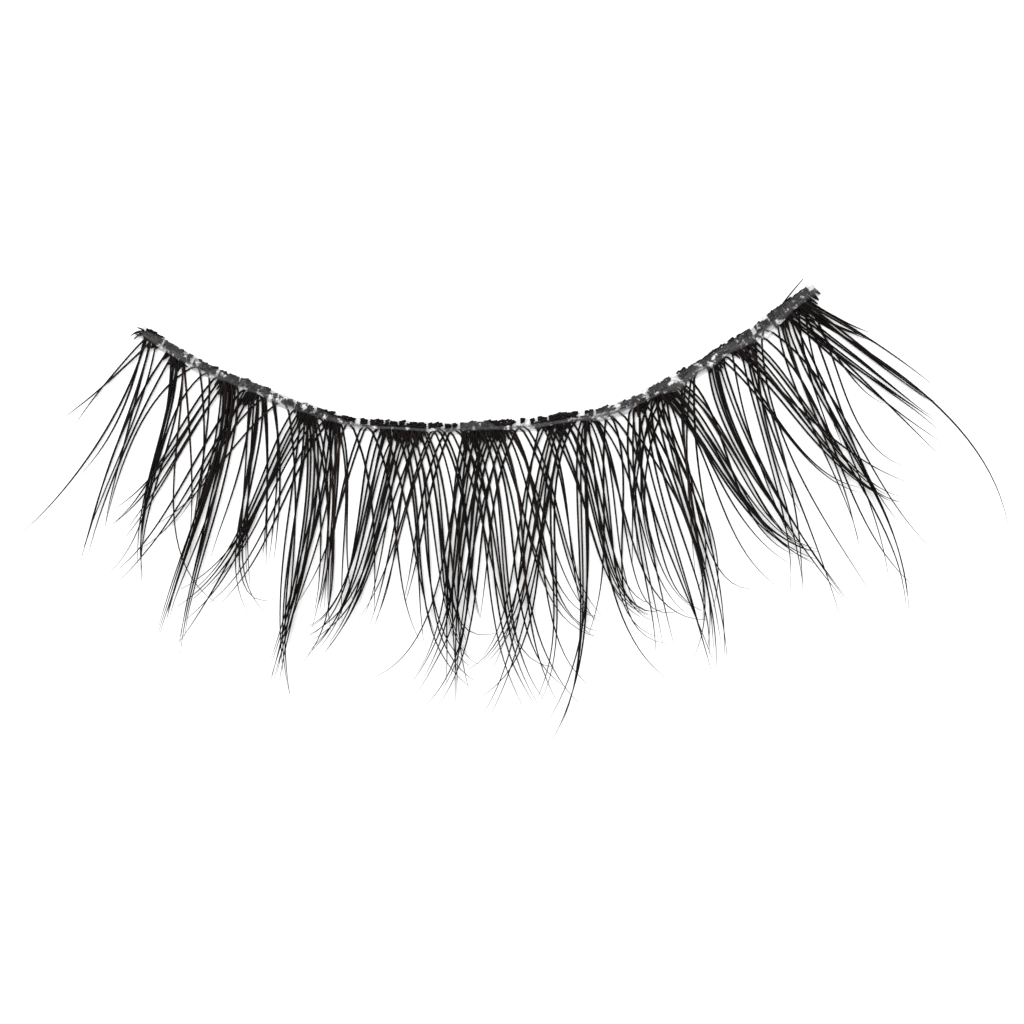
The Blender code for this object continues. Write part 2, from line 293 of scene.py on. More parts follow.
KNOTS = table(Knot, (
    (-15.25, -14.4, 0.5),
    (-14.15, -13.25, 0.75),
    (-11.85, -10.95, 0.8),
    (-10.5, -9.9, 0.85),
    (-8.3, -7.4, 0.75),
    (-7.05, -6.3, 0.65),
    (-4.6, -3.6, 0.85),
    (-3.6, -2.5, 0.9),
    (-0.8, 0.2, 1.05),
    (0.35, 1.4, 0.8),
    (2.55, 2.95, 0.35),
    (3.05, 4.05, 0.8),
    (4.6, 5.1, 0.4),
    (6.9, 7.5, 0.6),
    (7.9, 8.8, 0.75),
    (10.35, 10.95, 0.6),
    (11.3, 12.3, 0.95),
    (13.35, 14.3, 0.8),
    (14.3, 15.2, 0.7),
))

CUT_RUNS = table(CutRun, (
    (-15.25, -13.15, 0.13, 4),
    (-13.05, -12.0, 0.13, 4),
    (-11.9, -11.0, 0.14, 4),
    (-10.95, -9.6, 0.14, 4),
    (-9.6, -8.45, 0.06),
    (-8.4, -7.55, 0.12, 4),
    (-7.5, -6.6, 0.17, 4),
    (-6.6, -5.7, 0.14),
    (-5.45, -5.15, 0.12),
    (-5.0, -4.4, 0.14),
    (-4.32, -4.15, 0.14),
    (-4.1, -3.75, 0.12),
    (-3.68, -3.4, 0.16),
    (-3.35, -2.45, 0.12),
    (-2.35, -1.7, 0.11),
    (-1.6, -1.3, 0.08),
    (-1.25, -1.0, 0.13),
    (-0.9, 0.0, 0.14),
    (0.05, 1.6, 0.16),
    (1.85, 2.1, 0.2),
    (2.3, 2.55, 0.13),
    (2.65, 3.05, 0.19),
    (3.15, 4.5, 0.2),
    (4.8, 5.2, 0.2),
    (5.3, 6.2, 0.16),
    (6.3, 7.6, 0.16, 4),
    (7.7, 8.85, 0.2, 5),
    (9.1, 12.45, 0.2, 5),
    (12.6, 13.2, 0.14, 4),
    (13.25, 15.05, 0.2, 5),
))

LOOSE_FIBRES = table(Lock, (
    (13.1, 142, 14.7, 6.75, 140, 0.05, 1, 1.0),
    (-15.25, -100, -15.6, 4.55, -122, 0.2, 3, 1.0),
    (-15.2, -80, -15.7, 4.25, -100, 0.15, 2, 1.0),
))

FILM_STATIONS = table(StripStation, (
    (-15.35, 0.12, -0.15, 0.06),
    (-14.4, 0.3, -0.2, 0.1),
    (-13.4, 0.36, -0.16, 0.1),
    (-12.9, 0.34, -0.32, 0.14),
    (-12.2, 0.22, -0.28, 0.1),
    (-11.5, 0.26, -0.12, 0.1),
    (-10.9, 0.38, -0.16, 0.16),
    (-10.0, 0.36, -0.12, 0.12),
    (-9.5, 0.26, -0.2, 0.12),
    (-9.0, 0.5, -0.3, 0.2),
    (-8.4, 0.62, -0.2, 0.24),
    (-7.9, 0.58, -0.08, 0.22),
    (-7.3, 0.3, -0.08, 0.14),
    (-6.6, 0.16, -0.08, 0.1),
    (-5.5, 0.04, -0.2, 0.07),
    (-4.5, 0.0, -0.12, 0.05),
    (-2.4, 0.0, -0.14, 0.05),
    (-1.1, 0.05, -0.16, 0.05),
    (-0.6, 0.33, -0.1, 0.07),
    (0.3, 0.33, -0.1, 0.07),
    (0.8, 0.05, -0.12, 0.05),
    (2.2, 0.05, -0.22, 0.06),
    (3.3, 0.04, -0.12, 0.05),
    (4.6, 0.1, -0.12, 0.07),
    (5.3, 0.3, -0.26, 0.14),
    (6.4, 0.36, -0.36, 0.2),
    (7.1, 0.42, -0.08, 0.16),
    (8.1, 0.46, -0.08, 0.16),
    (8.9, 0.4, -0.4, 0.2),
    (9.6, 0.38, -0.14, 0.14),
    (10.4, 0.36, -0.24, 0.14),
    (11.2, 0.38, -0.1, 0.14),
    (12.1, 0.32, -0.26, 0.14),
    (12.9, 0.46, -0.52, 0.3),
    (13.5, 0.42, -0.3, 0.2),
    (14.2, 0.36, -0.14, 0.14),
    (14.9, 0.42, -0.16, 0.18),
    (15.5, 0.4, -0.2, 0.12),
))

CARRIER_STATIONS = table(StripStation, (
    (-15.4, 0.27, -0.27, 0.12),
    (0.0, 0.29, -0.29, 0.12),
    (15.3, 0.3, -0.3, 0.12),
))

LAMPS = table(Lamp, (
    ("key", (-0.08, 0.18, 1.5), 0.6, 28.0),
    ("fill", (0.9, -0.7, 1.2), 0.8, 3.0),
))


@dataclass(frozen=True)
class BandLine:
    """The band's centre line in plan, a smooth curve through its stations.

    Attributes:
        stations: points of the line, from -X to +X.
        feet: how many points of the line a distance is measured to.
        reach: how far to either side of an X its direction is measured.
    """

    stations: Sequence[BandStation]
    feet: int = 240
    reach: float = 0.05

    def slopes(self) -> list[float]:
        """Work out the line's slope at each station from its neighbours.

        Returns:
            One slope for each station.
        """
        last = len(self.stations) - 1
        found = []
        for i in range(last + 1):
            before = self.stations[max(i - 1, 0)]
            after = self.stations[min(i + 1, last)]
            found.append((after.y - before.y) / (after.x - before.x))
        return found

    def y_at(self, x: float) -> float:
        """Read the line's Y at an X, on straight runs beyond its ends.

        Args:
            x: place along the strip.

        Returns:
            The line's Y there.
        """
        slopes = self.slopes()
        first, last = self.stations[0], self.stations[-1]
        if x <= first.x:
            return first.y + slopes[0] * (x - first.x)
        if x >= last.x:
            return last.y + slopes[-1] * (x - last.x)
        i = max(k for k in range(len(self.stations) - 1) if self.stations[k].x <= x)
        start, end = self.stations[i], self.stations[i + 1]
        span = end.x - start.x
        t = (x - start.x) / span
        return (
            (1 + 2 * t) * (1 - t) ** 2 * start.y
            + t * (1 - t) ** 2 * span * slopes[i]
            + t * t * (3 - 2 * t) * end.y
            + t * t * (t - 1) * span * slopes[i + 1]
        )

    def point(self, x: float) -> np.ndarray:
        """Plan point of the line at an X."""
        return np.array((x, self.y_at(x)))

    def tangent(self, x: float) -> np.ndarray:
        """Unit vector along the line at an X, towards +X."""
        step = self.point(x + self.reach) - self.point(x - self.reach)
        return step / np.linalg.norm(step)

    def stand(self, x: float) -> tuple[np.ndarray, np.ndarray, np.ndarray]:
        """Plan point of the line at an X, with the unit vectors along it and up the plan from it."""
        tangent = self.tangent(x)
        return self.point(x), tangent, np.array((-tangent[1], tangent[0]))

    def distances(self, points: np.ndarray) -> np.ndarray:
        """Measure how far plan points lie from the line.

        Args:
            points: an array of plan points.

        Returns:
            One distance for each point.
        """
        xs = np.linspace(self.stations[0].x, self.stations[-1].x, self.feet)
        feet = np.array([self.point(x) for x in xs])
        return np.linalg.norm(points[:, None, :] - feet[None, :, :], axis=2).min(axis=1)


class Layer(Enum):
    """The layers of lashes, with the height of each one's root strip above the surface in mm."""

    CROSSED = 0.27
    CLUSTER = 0.51


@dataclass(frozen=True)
class Curl:
    """The curl of a layer: it dips from the band to the surface, lies along it, then rises.

    Attributes:
        root_height: height of the lowest layer at the band.
        low: height of the lowest layer where it lies along the surface.
        dip: distance from the band over which it dips.
        start: distance from the band at which it starts to rise.
        radius: radius of the rising arc.
    """

    root_height: float = Layer.CROSSED.value
    low: float = 0.09
    dip: float = 2.6
    start: float = 4.0
    radius: float = 12.0

    def heights(self, distances: np.ndarray, layer: Layer) -> np.ndarray:
        """Work out the heights of a layer's middle.

        Args:
            distances: distances from the band.
            layer: the layer.

        Returns:
            One height above the surface for each distance.
        """
        dip = np.clip(distances / self.dip, 0.0, 1.0)
        heights = self.root_height + (self.low - self.root_height) * dip * dip * (3 - 2 * dip)
        past = np.clip(distances - self.start, 0.0, self.radius)
        rise = self.radius - np.sqrt(self.radius**2 - past**2)
        return heights + rise + layer.value - self.root_height


BAND = BandLine(BAND_STATIONS)
CURL = Curl()


def heading(lean: float) -> np.ndarray:
    """Unit plan vector of a lean in degrees, where 0 is straight down the plan."""
    return np.array((math.sin(math.radians(lean)), -math.cos(math.radians(lean))))


class TreeHand:
    """A hand for writing node trees: it adds nodes, joins their sockets and does sums."""

    def __init__(self, tree: bpy.types.NodeTree) -> None:
        """Take hold of a tree."""
        self.tree = tree

    def add(self, kind: str, inputs: dict | None = None, **settings: object) -> bpy.types.Node:
        """Add a node.

        Args:
            kind: the node's type name.
            inputs: socket name or index to a value or to the socket that feeds it.
            settings: the node's own settings.

        Returns:
            The new node.
        """
        node = self.tree.nodes.new(kind)
        for name, value in settings.items():
            setattr(node, name, value)
        for name, value in (inputs or {}).items():
            self.feed(node.inputs[name], value)
        return node

    def feed(self, socket: bpy.types.NodeSocket, value: object) -> None:
        """Set a socket to a value, or join it to the socket that is given as the value.

        Args:
            socket: the input socket.
            value: a plain value or an output socket.
        """
        if isinstance(value, bpy.types.NodeSocket):
            self.tree.links.new(value, socket)
        else:
            socket.default_value = value

    def sum(self, operation: str, *values: object, clamp: bool = False) -> bpy.types.NodeSocket:
        """Do one step of arithmetic.

        Args:
            operation: the math node's operation.
            values: plain numbers or output sockets.
            clamp: whether the result is kept from 0 to 1.

        Returns:
            The result's socket.
        """
        node = self.add("ShaderNodeMath", operation=operation, use_clamp=clamp)
        for socket, value in zip(node.inputs, values):
            self.feed(socket, value)
        return node.outputs[0]

    def product(self, *values: object) -> bpy.types.NodeSocket:
        """Multiply numbers with one another.

        Args:
            values: plain numbers or output sockets.

        Returns:
            The product's socket.
        """
        result = values[0]
        for value in values[1:]:
            result = self.sum("MULTIPLY", result, value)
        return result

    def vector(self, operation: str, first: object, second: object) -> bpy.types.NodeSocket:
        """Do one step of vector arithmetic, where SCALE takes a number as the second value."""
        inputs = {0: first, "Scale" if operation == "SCALE" else 1: second}
        return self.add("ShaderNodeVectorMath", inputs, operation=operation).outputs[0]

    def attribute(self, name: str, data_type: str = "FLOAT") -> bpy.types.NodeSocket:
        """Socket of a named attribute in a geometry tree."""
        node = self.add("GeometryNodeInputNamedAttribute", {"Name": name}, data_type=data_type)
        return node.outputs["Attribute"]

    def store(self, geometry: object, name: str, value: object, domain: str) -> bpy.types.NodeSocket:
        """Store a number or a field on a geometry's domain, under a name."""
        inputs = {"Geometry": geometry, "Name": name, "Value": value}
        return self.add("GeometryNodeStoreNamedAttribute", inputs, domain=domain).outputs[0]

    def chance(self, seed: object, low: float) -> bpy.types.NodeSocket:
        """Field of random numbers from low to 1."""
        return self.add("FunctionNodeRandomValue", {2: low, 3: 1.0, 8: seed}).outputs[1]

    def noise(self, place: object, scale: object, detail: float, roughness: float) -> bpy.types.Node:
        """Add a noise texture at a scale in features to a metre."""
        inputs = {"Vector": place, "Scale": scale, "Detail": detail, "Roughness": roughness}
        return self.add("ShaderNodeTexNoise", inputs)


class GeometryTree(TreeHand):
    """A geometry tree with named inputs, which makes a piece from a base mesh.

    Attributes:
        name: the name of the tree and of its piece.
        values: the value of each named input, by the input's identifier.
        read: the outputs of the tree's input node.
    """

    def __init__(self, name: str, inputs: dict[str, object]) -> None:
        """Start the tree.

        Args:
            name: its name.
            inputs: the value of each named input.
        """
        super().__init__(bpy.data.node_groups.new(name, "GeometryNodeTree"))
        self.name = name
        self.values = {}
        self.socket("Geometry", "INPUT", "NodeSocketGeometry")
        self.socket("Geometry", "OUTPUT", "NodeSocketGeometry")
        for label, value in inputs.items():
            self.values[self.socket(label, "INPUT", SOCKET_KINDS[type(value)])] = value
        self.read = self.add("NodeGroupInput").outputs

    def socket(self, label: str, way: str, kind: str) -> str:
        """Add an input or an output to the tree, and give its identifier."""
        return self.tree.interface.new_socket(name=label, in_out=way, socket_type=kind).identifier

    def close(self, geometry: bpy.types.NodeSocket) -> None:
        """End the tree: smooth faces, real geometry and the material that the input Finish gives.

        Args:
            geometry: the socket of the finished geometry.
        """
        smooth = self.add("GeometryNodeSetShadeSmooth", {"Geometry": geometry})
        real = self.add("GeometryNodeRealizeInstances", {"Geometry": smooth.outputs[0]})
        dress = {"Geometry": real.outputs[0], "Material": self.read["Finish"]}
        dressed = self.add("GeometryNodeSetMaterial", dress)
        self.add("NodeGroupOutput", {"Geometry": dressed.outputs[0]})

    def piece(self, base: bpy.types.Mesh, material: bpy.types.Material) -> bpy.types.Object:
        """Run the closed tree on a mesh and keep the result as a plain mesh object.

        Args:
            base: the mesh that the tree starts from.
            material: the material of the result.

        Returns:
            An object that holds the plain mesh.
        """
        seed = linked(self.name + "_guides", base)
        modifier = seed.modifiers.new("Grow", "NODES")
        modifier.node_group = self.tree
        for identifier, value in self.values.items():
            modifier[identifier] = value
        graph = bpy.context.evaluated_depsgraph_get()
        mesh = bpy.data.meshes.new_from_object(seed.evaluated_get(graph))
        mesh.name = self.name
        seed.modifiers.remove(modifier)
        bpy.data.objects.remove(seed)
        mesh.materials.clear()
        mesh.materials.append(material)
        return linked(self.name, mesh)


def linked(name: str, mesh: bpy.types.Mesh) -> bpy.types.Object:
    """Link a new object for a mesh to the scene.

    Args:
        name: the object's name.
        mesh: its mesh.

    Returns:
        The new object.
    """
    item = bpy.data.objects.new(name, mesh)
    bpy.context.scene.collection.objects.link(item)
    return item


def settled(piece: bpy.types.Object, node: str | None = None) -> bpy.types.Object:
    """Set a piece on the part's body and in place of its solid.

    Args:
        piece: the piece's object.
        node: the solid that it stands for, or nothing.

    Returns:
        The same object.
    """
    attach(piece, BODY)
    if node:
        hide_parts(node)
    return piece


@dataclass(frozen=True)
class HairFinish:
    """Black synthetic fibre with a soft sheen and a brown tone in some hairs.

    Attributes:
        black: colour of most of the fibre.
        brown: colour of the hairs that catch the light.
        tip: colour of the thin tips.
        rarity: power that keeps the brown to a few hairs.
        warmth: how brown such a hair is between its streaks.
        tip_power: how late along a hair the tip's colour comes.
        roughness: middle roughness of the fibre.
        grit: how far the streaks vary it.
        sheen: strength of its highlight.
        streaks: how many streaks there are to a metre.
    """

    black: tuple[float, float, float] = (0.0016, 0.0012, 0.0011)
    brown: tuple[float, float, float] = (0.02, 0.011, 0.008)
    tip: tuple[float, float, float] = (0.006, 0.004, 0.004)
    rarity: float = 5.0
    warmth: float = 0.35
    tip_power: float = 4.0
    roughness: float = 0.45
    grit: float = 0.2
    sheen: float = 0.06
    streaks: float = 9000.0

    def material(self, name: str) -> bpy.types.Material:
        """Make the finish.

        Args:
            name: the material's name.

        Returns:
            The material.
        """
        material, hand, shader = new_material(name)
        tone = hand.add("ShaderNodeAttribute", attribute_name="tone").outputs["Fac"]
        along = hand.add("ShaderNodeAttribute", attribute_name="along").outputs["Fac"]
        place = hand.add("ShaderNodeTexCoord").outputs["Object"]
        grain = hand.noise(place, self.streaks, detail=2.0, roughness=0.6).outputs["Fac"]
        bright = hand.sum("POWER", tone, self.rarity)
        warmth = hand.sum("MULTIPLY", bright, hand.sum("ADD", grain, self.warmth), clamp=True)
        body = mixed(hand, warmth, self.black, self.brown)
        thinning = hand.sum("POWER", along, self.tip_power)
        hand.feed(shader.inputs["Base Color"], mixed(hand, thinning, body, self.tip))
        rough = hand.sum("MULTIPLY_ADD", grain, self.grit, self.roughness - self.grit / 2)
        hand.feed(shader.inputs["Roughness"], rough)
        shader.inputs["Specular IOR Level"].default_value = self.sheen
        return material


@dataclass(frozen=True)
class ClearFinish:
    """Clear plastic or set glue: a thin, glossy veil with light clouded patches that also stand for
    painted glints, and a painted grey outline at its edges.

    Attributes:
        colour: colour of the veil.
        veil: share of what lies below that the veil hides.
        cloud_and_glint_colour: colour of its clouded patches, which also stand for painted glints.
        cloud_and_glint_share: share of it that those patches cover.
        density: how much more a clouded patch hides.
        brightest: noise level above which a patch would start at a cloud_and_glint_share of 0.
        sharpness: how sharply a clouded patch ends.
        painted_edge_shade: how much more it hides where it is seen along its surface, a painted grey
            outline that stands for refraction at its edges.
        edge_power: how narrow that painted outline is.
        roughness: least roughness of its surface.
        grit: how far the creases roughen it.
        gloss: strength of its highlights.
        crease: depth of its fine creases in metres.
        grain: how many cloudy patches there are to a metre.
        fineness: how many creases there are to a clouded patch.
    """

    colour: tuple[float, float, float] = (0.16, 0.16, 0.17)
    veil: float = 0.08
    # Light grey of the clouded patches, which also stand for painted glints.
    cloud_and_glint_colour: tuple[float, float, float] = (0.75, 0.75, 0.77)
    cloud_and_glint_share: float = 0.36
    density: float = 0.5
    brightest: float = 0.75
    sharpness: float = 11.0
    # Extra hiding at a grazing view: a painted grey outline that stands for refraction.
    painted_edge_shade: float = 0.2
    edge_power: float = 3.0
    roughness: float = 0.14
    grit: float = 0.1
    gloss: float = 0.25
    crease: float = 0.000025
    grain: float = 2600.0
    fineness: float = 1.7

    def material(self, name: str) -> bpy.types.Material:
        """Make the finish.

        Args:
            name: the material's name.

        Returns:
            The material.
        """
        material, hand, shader = new_material(name)
        place = hand.add("ShaderNodeTexCoord").outputs["Object"]
        fine = hand.noise(place, self.grain * self.fineness, detail=2.0, roughness=0.5).outputs["Fac"]
        patch = hand.noise(place, self.grain, detail=3.0, roughness=0.6).outputs["Fac"]
        threshold = self.brightest - self.cloud_and_glint_share / 2
        # Light grey patches: partly clouded glue, partly painted glints.
        cloud_and_glint = hand.sum("MULTIPLY", hand.sum("SUBTRACT", patch, threshold), self.sharpness, clamp=True)
        hand.feed(shader.inputs["Base Color"], mixed(hand, cloud_and_glint, self.colour, self.cloud_and_glint_colour))
        # Painted grey outline: it hides more where its surface is seen at a grazing angle, standing for
        # refraction.
        facing = hand.add("ShaderNodeLayerWeight", {"Blend": 0.5}).outputs["Facing"]
        grazing = hand.sum("POWER", facing, self.edge_power)
        veil_and_painted_rim = hand.sum("MULTIPLY_ADD", grazing, self.painted_edge_shade, self.veil)
        hidden = hand.sum("MULTIPLY_ADD", cloud_and_glint, self.density, veil_and_painted_rim, clamp=True)
        hand.feed(shader.inputs["Alpha"], hidden)
        rough = hand.sum("MULTIPLY_ADD", fine, self.grit, self.roughness)
        hand.feed(shader.inputs["Roughness"], rough)
        shader.inputs["Specular IOR Level"].default_value = self.gloss
        bump = hand.add("ShaderNodeBump", {"Height": fine, "Distance": self.crease, "Strength": 1.0})
        hand.feed(shader.inputs["Normal"], bump.outputs[0])
        return material


@dataclass(frozen=True)
class FloorFinish:
    """A plain white sweep, with its colour, roughness and strength of highlight."""

    colour: tuple[float, float, float] = (0.93, 0.93, 0.93)
    roughness: float = 0.9
    gloss: float = 0.0

    def material(self, name: str) -> bpy.types.Material:
        """Make the finish.

        Args:
            name: the material's name.

        Returns:
            The material.
        """
        material, _, shader = new_material(name)
        shader.inputs["Base Color"].default_value = (*self.colour, 1.0)
        shader.inputs["Roughness"].default_value = self.roughness
        shader.inputs["Specular IOR Level"].default_value = self.gloss
        return material


def new_material(name: str) -> tuple[bpy.types.Material, TreeHand, bpy.types.Node]:
    """Start a material.

    Args:
        name: its name.

    Returns:
        The material, the hand that writes its tree, and its Principled shader.
    """
    material = bpy.data.materials.new(name)
    material.use_nodes = True
    return material, TreeHand(material.node_tree), material.node_tree.nodes["Principled BSDF"]


def mixed(hand: TreeHand, share: object, first: object, second: object) -> bpy.types.NodeSocket:
    """Mix two colours.

    Args:
        hand: the hand that writes the tree.
        share: the second colour's share, a number or a socket.
        first: a colour or a socket.
        second: a colour or a socket.

    Returns:
        The socket of the mixed colour.
    """
    node = hand.add("ShaderNodeMix", {0: share}, data_type="RGBA")
    for socket, value in ((node.inputs[6], first), (node.inputs[7], second)):
        hand.feed(socket, value if isinstance(value, bpy.types.NodeSocket) else (*value, 1.0))
    return node.outputs[2]


@dataclass(frozen=True)
class Guide:
    """A line that fibres follow, in mm.

    Attributes:
        points: its points, from the root on.
        fibres: how many fibres follow it.
        spreads: half width of the fibres' row at each point.
        sides: unit plan vectors along the row at each point.
        loose: share of the grower's stray that its fibres' tips take.
    """

    points: np.ndarray
    fibres: int
    spreads: np.ndarray
    sides: np.ndarray
    loose: float = 1.0


def across(plan: np.ndarray) -> np.ndarray:
    """Work out which way is square to a line.

    Args:
        plan: the line's plan points.

    Returns:
        One unit plan vector for each point.
    """
    ways = np.gradient(plan[:, :2], axis=0)
    ways /= np.linalg.norm(ways, axis=1)[:, None]
    return np.column_stack((-ways[:, 1], ways[:, 0]))


def lone_guide(plan: np.ndarray, heights: object) -> Guide:
    """Guide of a single fibre, with one height for all of its plan points or one for each."""
    points = np.column_stack((plan, np.broadcast_to(heights, len(plan))))
    return Guide(points, 1, np.zeros(len(plan)), across(plan))


def straight_guide(root: np.ndarray, run: np.ndarray, sections: int, height: float) -> Guide:
    """Guide of a single level, straight fibre, from a plan point along a plan vector."""
    t = np.linspace(0.0, 1.0, sections)[:, None]
    return lone_guide(root + run * t, height)


@dataclass(frozen=True)
class FibreGrower:
    """Grows round, tapered fibres along guide lines.

    Attributes:
        radius: radius of a fibre at its root, in mm.
        taper: share of the radius that is lost at the tip.
        taper_power: how late along a fibre it thins.
        stray: how far tips stray from their row, in mm.
        stray_power: how late along a fibre it strays.
        weave: share of the row's width by which fibres change places.
        bow: how far a fibre bows out of its row, in mm.
        lift: how far fibres rise over one another at their roots, in mm.
        tip_lift: how much further they rise over one another at their tips, in mm.
        shortest: length share of the shortest fibres of a large lock.
        uneven: share by which fibres differ in radius.
        sections: sections along a fibre.
        sides: sides of a fibre.
        seed: seed of what is random.
    """

    radius: float
    taper: float = 0.86
    taper_power: float = 2.9
    stray: float = 0.6
    stray_power: float = 3.0
    weave: float = 0.7
    bow: float = 0.12
    lift: float = 0.05
    tip_lift: float = 0.5
    shortest: float = 0.82
    uneven: float = 0.12
    sections: int = 24
    sides: int = 5
    seed: int = 1

    def guide_mesh(self, name: str, guides: Sequence[Guide]) -> bpy.types.Mesh:
        """Make the mesh of the guide lines, with the attributes that the tree reads.

        Args:
            name: the mesh's name.
            guides: the guide lines.

        Returns:
            A mesh of one chain of edges for each guide.
        """
        edges, start = [], 0
        for guide in guides:
            edges += [(i, i + 1) for i in range(start, start + len(guide.points) - 1)]
            start += len(guide.points)
        mesh = bpy.data.meshes.new(name)
        mesh.from_pydata((np.vstack([guide.points for guide in guides]) * MM).tolist(), edges, [])
        lengths = [len(guide.points) for guide in guides]
        fibres = np.repeat([guide.fibres for guide in guides], lengths)
        spreads = np.concatenate([guide.spreads for guide in guides]) * MM
        loose = np.repeat([guide.loose for guide in guides], lengths)
        for label, kind, values in (
            ("fibres", "INT", fibres.astype(np.int32)),
            ("spread", "FLOAT", spreads.astype(np.float32)),
            ("loose", "FLOAT", loose.astype(np.float32)),
        ):
            mesh.attributes.new(label, kind, "POINT").data.foreach_set("value", values)
        sides = np.zeros((start, 3), np.float32)
        sides[:, :2] = np.vstack([guide.sides for guide in guides])
        mesh.attributes.new("side", "FLOAT_VECTOR", "POINT").data.foreach_set("vector", sides.ravel())
        return mesh

    def inputs(self, material: bpy.types.Material) -> dict[str, object]:
        """Name the sizes that the tree is given.

        Args:
            material: the fibres' finish.

        Returns:
            The value of each of the tree's inputs.
        """
        return {
            "Radius": self.radius * MM,
            "Taper": self.taper,
            "Taper power": self.taper_power,
            "Tip stray": self.stray * MM,
            "Weave": self.weave,
            "Bow": self.bow * MM,
            "Root lift": self.lift * MM,
            "Tip lift": self.tip_lift * MM,
            "Lost length": 1.0 - self.shortest,
            "Uneven": self.uneven,
            "Sections": self.sections,
            "Sides": self.sides,
            "Seed": self.seed,
            "Finish": material,
        }

    def shifted(self, hand: GeometryTree, fibres: bpy.types.NodeSocket) -> bpy.types.NodeSocket:
        """Part the fibres of a row from one another.

        Args:
            hand: the tree.
            fibres: the socket of the copied lines.

        Returns:
            The socket of the parted lines.
        """
        read = hand.read
        along = hand.add("GeometryNodeSplineParameter").outputs["Factor"]
        swap = hand.product(hand.attribute("weave_chance"), read["Weave"], along)
        slot = hand.sum("ADD", hand.attribute("slot"), swap)
        in_row = hand.product(slot, hand.attribute("spread"))
        late = hand.sum("POWER", along, self.stray_power)
        freed = hand.product(late, hand.attribute("loose"))
        astray = hand.product(freed, read["Tip stray"], hand.attribute("side_chance"))
        bend = hand.sum("SINE", hand.product(along, math.pi))
        bowed = hand.product(bend, read["Bow"], hand.attribute("bow_chance"))
        sideways = hand.sum("ADD", hand.sum("ADD", in_row, astray), bowed)
        rise = hand.sum("MULTIPLY_ADD", along, read["Tip lift"], read["Root lift"])
        lifted = hand.product(hand.attribute("lift_chance"), rise)
        raised = hand.add("ShaderNodeCombineXYZ", {"Z": lifted})
        side = hand.attribute("side", "FLOAT_VECTOR")
        offset = hand.vector("ADD", hand.vector("SCALE", side, sideways), raised.outputs[0])
        return hand.add("GeometryNodeSetPosition", {"Geometry": fibres, "Offset": offset}).outputs[0]

    def grow(
        self, name: str, guides: Sequence[Guide], material: bpy.types.Material
    ) -> bpy.types.Object:
        """Grow the fibres.

        Args:
            name: the piece's name.
            guides: the guide lines.
            material: the fibres' finish.

        Returns:
            The piece's object.
        """
        hand = GeometryTree(name, self.inputs(material))
        read = hand.read
        lines = hand.add("GeometryNodeMeshToCurve", {"Mesh": read["Geometry"]}).outputs[0]
        amount = hand.attribute("fibres", "INT")
        copied = {"Geometry": lines, "Amount": amount}
        copies = hand.add("GeometryNodeDuplicateElements", copied, domain="SPLINE")
        place = hand.sum("ADD", copies.outputs["Duplicate Index"], 0.5)
        slot = hand.sum("MULTIPLY_ADD", hand.sum("DIVIDE", place, amount), 2.0, -1.0)
        fibres = hand.store(copies.outputs["Geometry"], "slot", slot, "CURVE")
        for i, (chance, low) in enumerate(FIBRE_CHANCES.items()):
            seed = hand.sum("ADD", read["Seed"], float(i))
            fibres = hand.store(fibres, chance, hand.chance(seed, low), "CURVE")
        fibres = self.shifted(hand, fibres)
        others = hand.sum("SUBTRACT", 1.0, hand.sum("DIVIDE", 1.0, amount))
        lost = hand.product(hand.attribute("length_chance"), read["Lost length"], others)
        end = hand.sum("SUBTRACT", 1.0, lost)
        fibres = hand.add("GeometryNodeTrimCurve", {"Curve": fibres, 3: end}).outputs[0]
        even = {"Curve": fibres, "Count": read["Sections"]}
        fibres = hand.add("GeometryNodeResampleCurve", even).outputs[0]
        along = hand.add("GeometryNodeSplineParameter").outputs["Factor"]
        fibres = hand.store(fibres, "along", along, "POINT")
        thinned = hand.product(hand.sum("POWER", along, read["Taper power"]), read["Taper"])
        thick = hand.sum("MULTIPLY_ADD", hand.attribute("thick_chance"), read["Uneven"], 1.0)
        scale = hand.product(hand.sum("SUBTRACT", 1.0, thinned), thick, read["Radius"])
        circle = {"Resolution": read["Sides"], "Radius": 1.0}
        ring = hand.add("GeometryNodeCurvePrimitiveCircle", circle)
        tube = {"Curve": fibres, "Profile Curve": ring.outputs[0], "Scale": scale, "Fill Caps": True}
        hand.close(hand.add("GeometryNodeCurveToMesh", tube).outputs[0])
        return hand.piece(self.guide_mesh(name + "_lines", guides), material)


